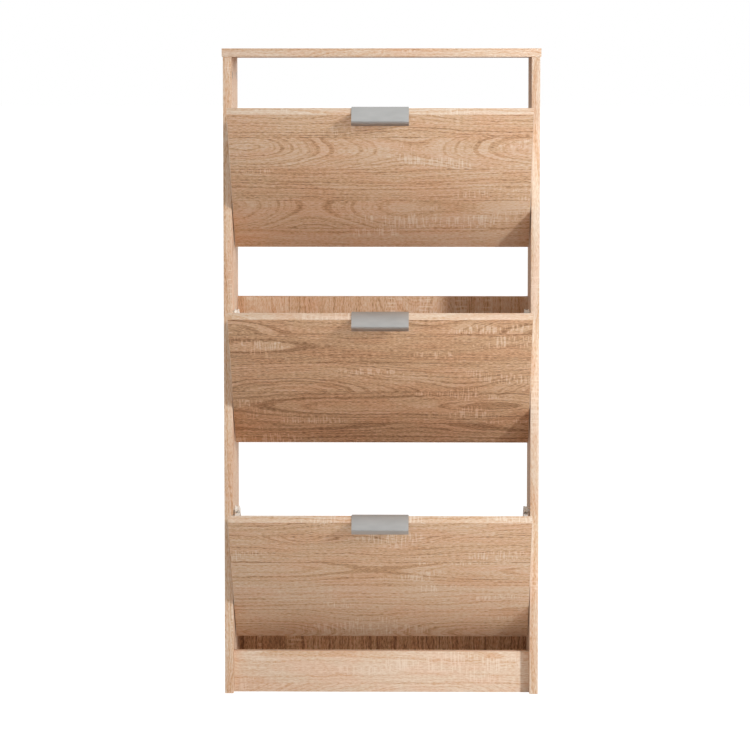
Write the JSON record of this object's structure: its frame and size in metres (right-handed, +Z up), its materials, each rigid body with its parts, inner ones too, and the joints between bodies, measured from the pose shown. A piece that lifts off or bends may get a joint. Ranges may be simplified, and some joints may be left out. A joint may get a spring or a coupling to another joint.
{
  "type": "shoe cabinet",
  "caption": "Tall narrow open-backed cabinet of oak-pattern board whose flaps tip forward on side pins, each with a bent handle strip and sloping shoe shelves.",
  "frame": {"origin": "middle of the footprint on the floor, with the open flaps and their handles included", "axes": "+Z up, +X to the right as seen from the front, +Y towards the wall behind the cabinet"},
  "size_m": [0.6, 0.4136, 1.225],
  "materials": {
    "carcass_board": "satin oak-pattern melamine",
    "flap_board": "satin oak-pattern melamine, grain across",
    "shelf_board": "satin oak-pattern melamine",
    "white_plastic": "moulded, fine matt grain",
    "handle_aluminium": "satin anodised",
    "zinc_fittings": "zinc plated"
  },
  "bodies": {
    "carcass": {"top_board": "carcass_board", "side_left": "carcass_board", "side_right": "carcass_board", "plinth": "carcass_board", "middle_rail": "carcass_board", "lower_rail": "carcass_board", "top_cam_front_left": "zinc_fittings", "top_cam_rear_left": "zinc_fittings", "plinth_cam_left": "zinc_fittings", "middle_rail_cam_left": "zinc_fittings", "lower_rail_cam_left": "zinc_fittings", "top_cam_front_right": "zinc_fittings", "top_cam_rear_right": "zinc_fittings", "plinth_cam_right": "zinc_fittings", "middle_rail_cam_right": "zinc_fittings", "lower_rail_cam_right": "zinc_fittings", "lower_pivot_left": "white_plastic", "lower_stop_peg_left": "white_plastic", "lower_pivot_right": "white_plastic", "lower_stop_peg_right": "white_plastic", "middle_pivot_left": "white_plastic", "middle_stop_peg_left": "white_plastic", "middle_pivot_right": "white_plastic", "middle_stop_peg_right": "white_plastic", "upper_pivot_left": "white_plastic", "upper_stop_peg_left": "white_plastic", "upper_pivot_right": "white_plastic", "upper_stop_peg_right": "white_plastic"},
    "lower_flap": {"lower_flap": "flap_board", "lower_handle": "handle_aluminium", "lower_flap_lower_shelf": "shelf_board", "lower_flap_upper_shelf": "shelf_board", "lower_cheek_left": "white_plastic", "lower_cheek_right": "white_plastic", "lower_handle_screw_left": "zinc_fittings", "lower_handle_screw_right": "zinc_fittings"},
    "middle_flap": {"middle_flap": "flap_board", "middle_handle": "handle_aluminium", "middle_flap_lower_shelf": "shelf_board", "middle_flap_upper_shelf": "shelf_board", "middle_cheek_left": "white_plastic", "middle_cheek_right": "white_plastic", "middle_handle_screw_left": "zinc_fittings", "middle_handle_screw_right": "zinc_fittings"},
    "upper_flap": {"upper_flap": "flap_board", "upper_handle": "handle_aluminium", "upper_flap_lower_shelf": "shelf_board", "upper_flap_upper_shelf": "shelf_board", "upper_cheek_left": "white_plastic", "upper_cheek_right": "white_plastic", "upper_handle_screw_left": "zinc_fittings", "upper_handle_screw_right": "zinc_fittings"}
  },
  "joints": [
    {"name": "lower_flap_hinge", "type": "hinge", "parent": "carcass", "child": "lower_flap", "pos_m": [0, 0.02078, 0.181], "axis": [1, 0, 0], "range_deg": [-46.5, 0]},
    {"name": "middle_flap_hinge", "type": "hinge", "parent": "carcass", "child": "middle_flap", "pos_m": [0, 0.02078, 0.556], "axis": [1, 0, 0], "range_deg": [-46.5, 0]},
    {"name": "upper_flap_hinge", "type": "hinge", "parent": "carcass", "child": "upper_flap", "pos_m": [0, 0.02078, 0.931], "axis": [1, 0, 0], "range_deg": [-46.5, 0]}
  ]
}
